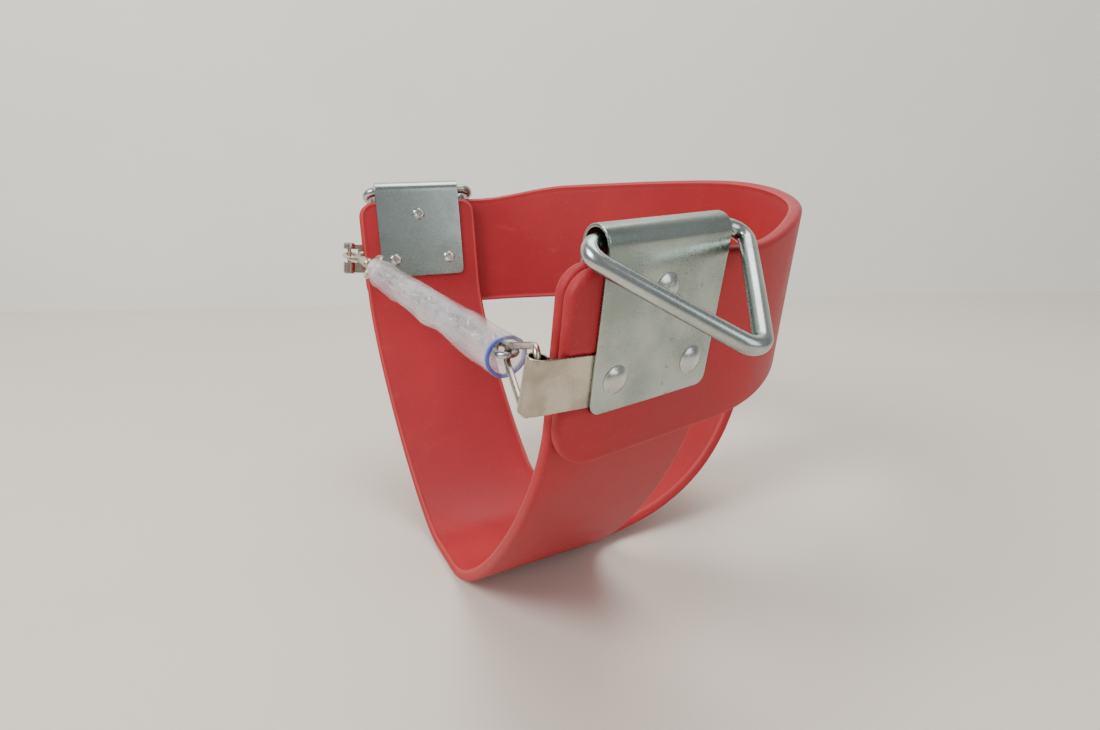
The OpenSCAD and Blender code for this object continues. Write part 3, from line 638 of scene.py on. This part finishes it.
def bent_plate(path, width, thick, r, place, window=None, cut=(0, 0)):
    """A strip of the given width bent along a 2-D path. Corners at its two ends are turned at
    the radii in cut; window = (from, low, high) leaves out a band from there to the far end."""
    length = arc_length(path)
    s = spread(length[-1], r, 2.5)
    for end, c in enumerate(cut):
        if c:
            turns = np.array([c * (1 - math.sin(a)) for a in np.linspace(0, 1.45, 12)])
            s = np.concatenate([s, turns if end == 0 else length[-1] - turns])
    t = spread(width, r, 5)
    if window:
        near = np.array(edge_steps(r))
        s = np.concatenate([s, window[0] - near])
        t = np.concatenate([t, window[1] - near, window[2] + near])
        s = s[(s <= window[0]) | (s > window[0] + 1)]
    s, t = np.unique(np.round(s, 3)), np.unique(np.round(t, 3))
    lim = width / 2 - corner(s, cut[0]) - corner(length[-1] - s, cut[1])
    mid2 = sample(s, length, np.asarray(path, float))
    S = np.broadcast_to(s[:, None], (len(s), len(t)))
    T = lim[:, None] * ((t - width / 2) / (width / 2))[None, :]
    mid = place(np.broadcast_to(mid2[:, None, :], (len(s), len(t), 2)).reshape(-1, 2), T.ravel())
    faces = quads(len(s), len(t))
    lines = [np.stack([s, lim], axis=1), np.stack([s, -lim], axis=1),
             [[0, -lim[0]], [0, lim[0]]], [[s[-1], -lim[-1]], [s[-1], lim[-1]]]]
    if window:
        low, high = window[1] - width / 2, window[2] - width / 2
        centre = np.stack([S.ravel(), T.ravel()], axis=1)[faces].mean(axis=1)
        faces = faces[~((centre[:, 0] > window[0]) & (centre[:, 1] > low) & (centre[:, 1] < high))]
        lines += [[[s[-1], low], [window[0], low], [window[0], high], [s[-1], high]]]
    d = edge_distance(np.stack([S.ravel(), T.ravel()], axis=1), lines)
    used = np.unique(faces)
    index = np.full(len(mid), -1)
    index[used] = np.arange(len(used))
    return plate(mid[used], index[faces], thick, d[used] / r, 0.3)


# ---- hangers, rivets, brackets ----
def fold_path():
    """Middle line of a folded plate: up the inner leg, round the fold, down the outer leg."""
    r = FOLD_IN + PLATE_T / 2
    turns = [(r * math.cos(a), PLATE_LEG + r * math.sin(a)) for a in np.linspace(math.pi, 0, 40)]
    legs = np.linspace(0, PLATE_LEG, 24)[:-1]
    return np.array([(-r, h) for h in legs] + turns + [(r, h) for h in legs[::-1]])


def make_hanger(name, side):
    """A plate folded over the belts' ends, its corners and rims rounded. The steel springs
    out a little between the rivets: 0.25 mm at the middle of the outer leg's foot."""
    def place(q, t):
        foot = np.exp(-((q[:, 1] - 4) / 9) ** 2) * np.exp(-(t / 20) ** 2) * np.sign(q[:, 0])
        return on_hanger(np.stack([q[:, 0] + 0.25 * foot, t, q[:, 1]], axis=1), side)
    verts, faces = bent_plate(fold_path(), PLATE_W, PLATE_T, 0.7, place, cut=(PLATE_CORNER, PLATE_CORNER))
    return piece(name, verts, faces, [name], "seat", "zinc_plate")


def make_rivet(name, side, at):
    """A rivet through the stack: domed head with a soft rim outside, a rolled hollow tail
    inside. The dome is an arc through the rim and the crown."""
    out, rim, high = FOLD_IN + PLATE_T, 8.75, 3.4
    dome = (rim ** 2 + high ** 2) / (2 * high)
    tail = [(-out - 0.5, 0.01), (-out - 0.5, 1.5), (-out - 1.0, 1.9), (-out - 1.7, 2.5)]
    tail += [(-out - 2.1 * math.sin(a), 4.2 - 1.75 * math.cos(a))
             for a in np.linspace(0.95, math.pi - 0.15, 14)]
    tail += [(-out, 6.2), (-out + 0.3, 6.1), (-out + 0.3, 3.2), (out - 0.3, 3.2)]
    head = [(out - 0.3, rim - 0.4), (out + 0.05, rim - 0.15), (out + 0.3, rim - 0.12)]
    head += [(out + high - dome + dome * math.cos(a), dome * math.sin(a))
             for a in np.linspace(math.asin((rim - 0.6) / dome), 0.0012, 16)]
    verts, faces = turned(tail + head)
    verts = on_hanger(verts + [0, at[0], at[1]], side)
    return piece(name, verts, faces, [name], "seat", "rivet")


def make_bracket(name, side):
    """A strip under the hanger's outer leg that ends in a curl of 298 degrees. The left one
    has a window through the curl."""
    r, mid = (CURL_D - STRIP_T) / 2, FOLD_IN - CURL_D / 2
    path = [(FOLD_IN - STRIP_T / 2, h) for h in np.linspace(12, -STRIP_REACH, 30)[:-1]]
    path += [(mid + r * math.cos(a), -STRIP_REACH + r * math.sin(a))
             for a in np.radians(np.linspace(360, 62, 60))]

    def place(q, t):
        return on_bracket(np.stack([q[:, 0], q[:, 1], t], axis=1), side)
    window = (52.0, 11.5, 25.5) if side < 0 else None
    verts, faces = bent_plate(np.array(path), STRIP_H, STRIP_T, 0.55, place, window=window)
    return piece(name, verts, faces, [name], "seat", "nickel")


def make_pin():
    """The pin in the left curl, with a low domed head at each end."""
    half = (STRIP_H + 1.2) / 2
    side = [(half + 0.6, 0.01), (half + 0.6, 3.6), (half + 0.45, 4.7), (half, 5.45), (half - 0.6, 5.45),
            (half - 0.6, 2.0)]
    profile = [(-a, r) for a, r in side] + side[::-1]
    verts, faces = turned(profile, 36)
    verts = np.stack([-verts[:, 2], verts[:, 1], verts[:, 0]], axis=1)
    verts = on_bracket(verts + [FOLD_IN - CURL_D / 2, -STRIP_REACH, 0], -1)
    return piece("bracket pin", verts, faces, ["bracket_pin"], "seat", "nickel")


# ---- rings and links ----
def make_ring(name, side):
    """A triangle of round rod: straight side in the fold, two arms to a rounded apex. The
    arms bow out by 0.6 mm."""
    half = RING_BASE / 2
    outline = rounded([[0, -half, 0], [RING_DROP, 0, 0], [0, half, 0]], RING_BEND, closed=True, steps=14)
    path = fill(outline, 3, closed=True)
    arm = np.abs(path[:, 1]) / half
    path[:, 1] += np.sign(path[:, 1]) * 0.6 * np.sin(math.pi * np.clip(arm, 0, 1)) * (path[:, 0] > 3)
    verts, faces = rod(path, [0, 0, 1], RING_D / 2)
    verts = verts @ turn("y", 90 - RING_REST).T + [0, RING_SHIFT, PLATE_LEG + 1]
    return piece(name, on_hanger(verts, side), faces, [name], name, "zinc_rod")


curl_mid = on_bracket([[FOLD_IN - CURL_D / 2, -STRIP_REACH, 0]])[0]
curl_up = HANG @ TILT @ np.array([0, 0, 1.0])
CHAIN_Z = curl_mid[2] + 3.7
pin_at = curl_mid + curl_up * (CHAIN_Z - curl_mid[2]) / curl_up[2]
CHAIN_Y = pin_at[1] + HOOK_GAP / 2
tip_at = np.array([curl_mid[0] - 46, CHAIN_Y, CHAIN_Z])


def make_triangle_link():
    """A wire triangle: a straight side in the right curl and two arms to a rounded tip."""
    side = unit(tip_at - curl_mid)
    up = unit(curl_up - (curl_up @ side) * side)
    reach, k = np.linalg.norm(tip_at - curl_mid) - 6, 1 - (6 / 21) ** 2
    vertex = (reach + math.sqrt(reach ** 2 - k * (reach ** 2 - 36))) / k
    outline = rounded([[0, -21, 0], [vertex, 0, 0], [0, 21, 0]], 6, closed=True, steps=12)
    flat = fill(outline, 1.6, closed=True)
    path = curl_mid + flat[:, :1] * side - flat[:, 1:2] * up
    verts, faces = rod(path, np.cross(side, up), WIRE_D / 2, sides=22)
    return piece("triangle link", verts, faces, ["triangle_link"], "link", "nickel")


FIRST = tip_at[0] + WIRE_D + 0.4 - (LINK_LEN + WIRE_D) / 2
PITCH = LINK_LEN - 0.3
LAST = FIRST - (LINKS - 1) * PITCH
EYE_X1 = LAST - (LINK_LEN + WIRE_D) / 2 + WIRE_D + 0.4
SLEEVE_X0, SLEEVE_X1 = EYE_X1 + WIRE_D / 2 + 4, tip_at[0] - 1
SLEEVE_Z = CHAIN_Z - (SLEEVE_D / 2 - SLEEVE_WALL) + LINK_GAP / 2 + WIRE_D + 0.4


def in_snap(p):
    """Points from the snap's frame (x along the barrel) to the object's frame."""
    return np.asarray(p, float) + [0, CHAIN_Y, CHAIN_Z]


def make_chain():
    """Links of welded wire, each turned 87 degrees from the last about the chain's line, with
    a small weld swelling on one side: r * (1 + 0.12 exp(-(x / 1.5)^2))."""
    parts = []
    for i in range(LINKS):
        arcs = [(7.5 + 5.5 * math.cos(a), 5.5 * math.sin(a))
                for a in np.linspace(-math.pi / 2, math.pi / 2, 13)]
        bar = [(x, 5.5) for x in np.linspace(7.5, -7.5, 12)[1:-1]]
        half = arcs + bar
        path = np.array([(x, q, 0) for x, q in half] + [(-x, -q, 0) for x, q in half])
        r = 2 * (1 + 0.12 * np.exp(-(path[:, 0] / 1.5) ** 2) * (path[:, 1] < 0))
        verts, faces = rod(path, [0, 0, 1], np.minimum(r, 2.2), sides=14)
        verts = verts @ turn("x", 87 * i).T + [FIRST - i * PITCH, 0, 0]
        parts.append((in_snap(verts), faces))
    verts, faces = join(*parts)
    return piece("chain links", verts, faces, ["chain_links"], "chain", "zinc_chain")


def make_sleeve():
    """A soft tube over the chain. Its radius is R * (1 + dents), with dents a sum of slow
    waves in angle and length; the far end is flattened. The cut at the near end slants."""
    outer, inner = SLEEVE_D / 2, SLEEVE_D / 2 - SLEEVE_WALL
    length = SLEEVE_X1 - SLEEVE_X0
    sides = 72
    x = np.concatenate([np.linspace(0, length, 150), [0.4, 1, length - 0.4, length - 1]])
    x = np.unique(x) / length
    walls = [(t, outer) for t in x] + [(t, inner) for t in x[::-1]]
    t = np.array([w[0] for w in walls])[:, None]
    base = np.array([w[1] for w in walls])[:, None]
    end = np.minimum(t, 1 - t)[:, 0] * length
    soft = np.where(base[:, 0] > inner + 0.1, -0.5, 0.5) * np.clip(1 - end / 0.6, 0, 1) ** 2
    b = np.linspace(0, 2 * math.pi, sides, endpoint=False)[None, :]
    s = t * length
    dents = (0.035 * np.sin(2 * b + s / 23) * np.sin(s / 31 + 0.6) + 0.022 * np.sin(3 * b - s / 17)
             + 0.016 * np.sin(5 * b + s / 11) * np.sin(s / 40) - 0.05 * np.exp(-((s - 96) / 14) ** 2)
             * np.exp(-((np.abs(b - 1.2) - 0.2) / 0.5) ** 2) - 0.06 * np.exp(-((s - 205) / 18) ** 2)
             * np.exp(-((b - 4.3) / 0.5) ** 2))
    dents = 1.5 * dents + 0.09 * np.sin(3 * b + s / 6) * np.exp(-s / 42)
    calm = smooth((length - s) / 40)
    r = (base + soft[:, None]) * (1 + dents * (0.25 + 0.75 * calm) - 0.02)
    yy = r * np.cos(b) * (1 - 0.26 * np.exp(-s / 26))
    zz = r * np.sin(b)
    # The wall stays outside the round that the links sweep, 2.8 mm above its own middle.
    turn_b, far = np.arctan2(zz, yy), np.hypot(yy, zz)
    least = 2.8 * np.sin(turn_b) + np.sqrt(8.1 ** 2 - (2.8 * np.cos(turn_b)) ** 2)
    far = np.maximum(far, least + np.where(base > inner + 0.1, SLEEVE_WALL - 0.3, 0) + 0 * b)
    yy, zz = far * np.cos(turn_b), far * np.sin(turn_b)
    xx = s + zz * t * 6 / SLEEVE_D + 2.0 * (1 - smooth(s / 20)) * np.cos(2 * b) * 0.6
    verts = np.stack([xx + SLEEVE_X0, yy + CHAIN_Y, zz + SLEEVE_Z], axis=-1).reshape(-1, 3)
    faces = quads(len(walls), sides, wrap_rows=True, wrap_cols=True)
    from_cut = np.broadcast_to((1 - t) * length, r.shape).ravel()
    # near places the painted pink reflection of the red rubber, fading away from the cut.
    return piece("chain sleeve", verts, faces, ["chain_sleeve"], "chain", "clear_sleeve",
                 {"rim": np.clip(1.8 - from_cut / 2.0, 0, 1), "near": np.exp(-from_cut / 26)})


# ---- snap hook ----
BEND_X = -pin_at[0] + HOOK_GAP / 2 - HOOK_D / 2 - 2 - 0.4 - 0.1
BARREL_X0 = BEND_X + 29
BARREL_X1 = BARREL_X0 + 44
COLLAR_X1 = BARREL_X1 + 6
KNOB_X = BARREL_X0 + 13
EYE_X0 = COLLAR_X1 + 1.2 + WIRE_D / 2


def make_eye():
    """The swivel eye: an oval of wire, (cos a, sin a) scaled to its two half widths, on a stem
    with a small collar."""
    a = np.linspace(0, 2 * math.pi, 96, endpoint=False)
    mid, half = (EYE_X0 + EYE_X1) / 2, (EYE_X1 - EYE_X0) / 2
    path = np.stack([mid + half * np.cos(a), 12 * np.sin(a), 0 * a], axis=1)
    verts, faces = rod(path, [0, 0, 1], 2, sides=20)
    eye = (verts @ turn("x", 48).T, faces)
    x0 = BARREL_X1 - 1.4
    stem = turned([(x0, 0.01), (x0, 2.1), (x0 + 0.3, 2.4), (COLLAR_X1 + 0.5, 2.4), (EYE_X0 - 1.6, 2.4),
                   (EYE_X0 - 0.6, 2.6), (EYE_X0, 2.3), (EYE_X0 + 0.8, 0.01)], 32)
    verts, faces = join(eye, stem)
    return piece("snap eye", in_snap(verts), faces, ["snap_eye"], "chain", "nickel")


def make_snap():
    """The snap's body: a hook bar swept round the bend, run into a barrel whose wall is open
    along the knob's slot, and a collar at its end."""
    bar = rounded([[BARREL_X0 + 13, -2.65, 0], [BARREL_X0 - 1, -HOOK_GAP, 0], [BEND_X, -HOOK_GAP, 0]],
                  [0, 16, 0], steps=8)
    turn_r = HOOK_GAP / 2
    bend = [[BEND_X - turn_r * math.sin(a), -turn_r - turn_r * math.cos(a), 0]
            for a in np.linspace(0, math.pi, 24)[1:]]
    tip = [[BEND_X + 2, 0, 0], [BEND_X + 3.4, 0, 0], [BEND_X + 3.8, 0, 0], [BEND_X + 4, 0, 0]]
    path = np.concatenate([fill(bar, 1.5), bend, tip])
    r = np.full(len(path), HOOK_D / 2)
    r[-3:] = [2.25, 2.1, 1.7]
    hook = rod(path, [0, 0, 1], r, closed=False, sides=24)
    wall_in, wall_out = 2.28, BARREL_D / 2
    mid_r, wall = (wall_in + wall_out) / 2, wall_out - wall_in
    slot = (KNOB_X - 1.6, KNOB_X + 1.6 + 9)
    near = np.array(edge_steps(0.5, 4))
    x = np.concatenate([spread(44, 0.5, 1.5) + BARREL_X0, slot[0] - near, slot[1] + near])
    x = np.unique(np.round(x, 3))
    half = 1.6 / wall_out
    gap = near / wall_out
    b = np.concatenate([half + gap, np.linspace(half + gap[-1], 2 * math.pi - half - gap[-1], 44)[1:-1],
                        2 * math.pi - half - gap[::-1]])
    b = b + math.pi / 2
    X, B = np.meshgrid(x, b, indexing="ij")
    mid = np.stack([X, mid_r * np.cos(B), mid_r * np.sin(B)], axis=-1).reshape(-1, 3)
    faces = quads(len(x), len(b), wrap_cols=True)
    middle = X.ravel()[faces].mean(axis=1)
    seam = (faces.reshape(len(x) - 1, len(b), 4)[:, -1]).reshape(-1, 4)
    is_seam = np.isin(faces[:, 0], seam[:, 0])
    faces = faces[~(is_seam & (middle > slot[0]) & (middle < slot[1]))]
    arc = (B - math.pi / 2) * wall_out
    d = np.minimum(X - x[0], x[-1] - X)
    side = np.minimum(arc - 1.6, 2 * math.pi * wall_out - 1.6 - arc)
    past = np.maximum(np.maximum(slot[0] - X, X - slot[1]), 0)
    d = np.minimum(d, np.hypot(np.maximum(side, 0), past)).ravel()
    barrel = plate(mid, faces, wall, d / 0.5, 0.7)
    end = COLLAR_X1
    collar = turned([(BARREL_X1 - 0.5, 2.6), (BARREL_X1 - 0.5, 4.2), (BARREL_X1 + 0.4, 4.4),
                     (BARREL_X1 + 1.2, 3.75), (end - 1.4, 4.05), (end - 0.4, 4.0), (end, 3.5),
                     (end, 2.52), (end - 0.5, 2.5),
                     (BARREL_X1 + 0.4, 2.5)], 40)
    ring = quads(10, 40, wrap_rows=True, wrap_cols=True).tolist()
    verts, faces = join(hook, (barrel[0], barrel[1].tolist()), (collar[0], ring))
    return piece("snap body", in_snap(verts), faces, ["snap_body"], "snap", "nickel")


def make_bolt():
    """The sliding bolt, its nose bevelled."""
    x0, x1 = BEND_X + 4.3, BARREL_X0 + 21
    profile = [(x0, 0.01), (x0, 1.5), (x0 + 0.2, 1.9), (x0 + 0.6, 2.15),
               (x0 + 1, BOLT_D / 2), (x1 - 0.4, BOLT_D / 2), (x1, 1.8), (x1, 0.01)]
    verts, faces = turned(profile, 32)
    return piece("snap bolt", in_snap(verts), faces, ["snap_bolt"], "bolt", "nickel")


def make_knob():
    """The thumb knob: a stem, a waist and a domed button with a soft rim."""
    top = BARREL_D / 2
    profile = [(0.2, 0.01), (0.2, 1.3), (top + 0.55, 1.3), (top + 0.62, 2.7), (top + 0.9, 3.05),
               (top + 1.9, 3.1)]
    profile += [(top - 0.8 + 4.3 * math.cos(a), 4.3 * math.sin(a)) for a in np.linspace(0.78, 0.003, 12)]
    verts, faces = turned(profile, 40)
    verts = np.stack([-verts[:, 2] + KNOB_X, verts[:, 1], verts[:, 0] - 0.2], axis=1)
    return piece("snap knob", in_snap(verts), faces, ["snap_knob"], "bolt", "nickel")


make_seat()
make_belt()
for hand, side in (("right", 1), ("left", -1)):
    make_hanger("hanger_" + hand, side)
    make_ring("ring_" + hand, side)
    make_bracket("bracket_" + hand, side)
    for place, at in RIVETS.items():
        make_rivet(f"rivet_{hand}_{place}", side, at)
make_pin()
make_triangle_link()
make_chain()
make_sleeve()
make_eye()
make_snap()
make_bolt()
make_knob()

# The nodes that stay as the CAD made them.
for node in ("seat_insert", "back_insert", "snap_spring"):
    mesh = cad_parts[node].data
    mesh.materials.clear()
    mesh.materials.append(MATERIALS["spring_steel"])


# ---- stage, light and camera ----
def stage_sheet(name, corners, colour, rough):
    """A flat sheet for the floor or the backdrop."""
    mesh = bpy.data.meshes.new(name)
    mesh.from_pydata(corners, [], [[0, 1, 2, 3]])
    obj = bpy.data.objects.new(name, mesh)
    bpy.context.scene.collection.objects.link(obj)

    def build(where):
        cloud = where.noise(1.6, 4).step(0.3, 0.7)
        grain = where.noise(240, 3)
        pale = tuple(min(1.0, c * 1.04) for c in colour[:3]) + (1.0,)
        return {"Base Color": cloud.mix(colour, pale), "Roughness": rough + 0.08 * cloud,
                "bump": (grain, 0.00004)}
    mesh.materials.append(finish(name, build))


def area(name, where, target, size, power, colour=(1, 1, 1)):
    """A square soft light at where, aimed at target."""
    data = bpy.data.lights.new(name, "AREA")
    data.size, data.energy, data.color = size, power, colour
    obj = bpy.data.objects.new(name, data)
    bpy.context.scene.collection.objects.link(obj)
    obj.location = where
    aim = np.subtract(target, where)
    obj.rotation_mode = "QUATERNION"
    obj.rotation_quaternion = Vector(aim.tolist()).to_track_quat("-Z", "Y")


WALL_AWAY, WALL_HIGH, FLOOR_HALF, FLOOR_DEEP = 1.6, 3.0, 12, 20
AZ, EL, ROLL = math.radians(63.91), math.radians(17.91), math.radians(-1.11)
back = np.array([math.sin(AZ) * math.cos(EL), -math.cos(AZ) * math.cos(EL), math.sin(EL)])
right = unit(np.array([math.cos(AZ), math.sin(AZ), 0]))
up = np.cross(back, right)
eye = np.array([528.9, -209.2, 358.7]) * MM
ahead = np.array([-math.sin(AZ), math.cos(AZ), 0])
floor_z = min(0.0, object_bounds()[0][2]) - 0.0002
wall_at = np.array([eye[0], eye[1], 0]) + ahead * WALL_AWAY
half, deep = right * FLOOR_HALF, ahead * FLOOR_DEEP
corners = [wall_at - half, wall_at + half, wall_at + half - deep, wall_at - half - deep]
stage_sheet("floor", [(c[0], c[1], floor_z) for c in corners], lin(222, 213, 202), 0.55)
wall_ends = ((corners[0], floor_z), (corners[1], floor_z), (corners[1], WALL_HIGH), (corners[0], WALL_HIGH))
stage_sheet("wall", [(c[0], c[1], h) for c, h in wall_ends], lin(243, 242, 236), 0.8)
centre = (0.0, 0.08, 0.15)
area("key", (0.2, -1.9, 1.9), centre, 1.1, 58, (1.0, 0.985, 0.96))
area("fill", (2.0, 0.7, 1.2), centre, 1.4, 14, (0.95, 0.98, 1.0))
area("top", (-0.5, 0.5, 2.2), centre, 1.5, 34, (1.0, 1.0, 0.99))
world = bpy.data.worlds.new("studio")
bpy.context.scene.world = world
world.use_nodes = True
world.node_tree.nodes["Background"].inputs["Color"].default_value = (0.80, 0.82, 0.84, 1)
world.node_tree.nodes["Background"].inputs["Strength"].default_value = 0.42

camera = bpy.data.cameras.new("camera")
camera.sensor_width, camera.lens = 36.0, 22.38
obj = bpy.data.objects.new("camera", camera)
bpy.context.scene.collection.objects.link(obj)
turned_right = right * math.cos(ROLL) + up * math.sin(ROLL)
turned_up = -right * math.sin(ROLL) + up * math.cos(ROLL)
m = np.eye(4)
m[:3, 0], m[:3, 1], m[:3, 2], m[:3, 3] = turned_right, turned_up, back, eye
obj.matrix_world = Matrix(m.tolist())
camera.clip_start, camera.clip_end = 0.01, 50
bpy.context.scene.camera = obj
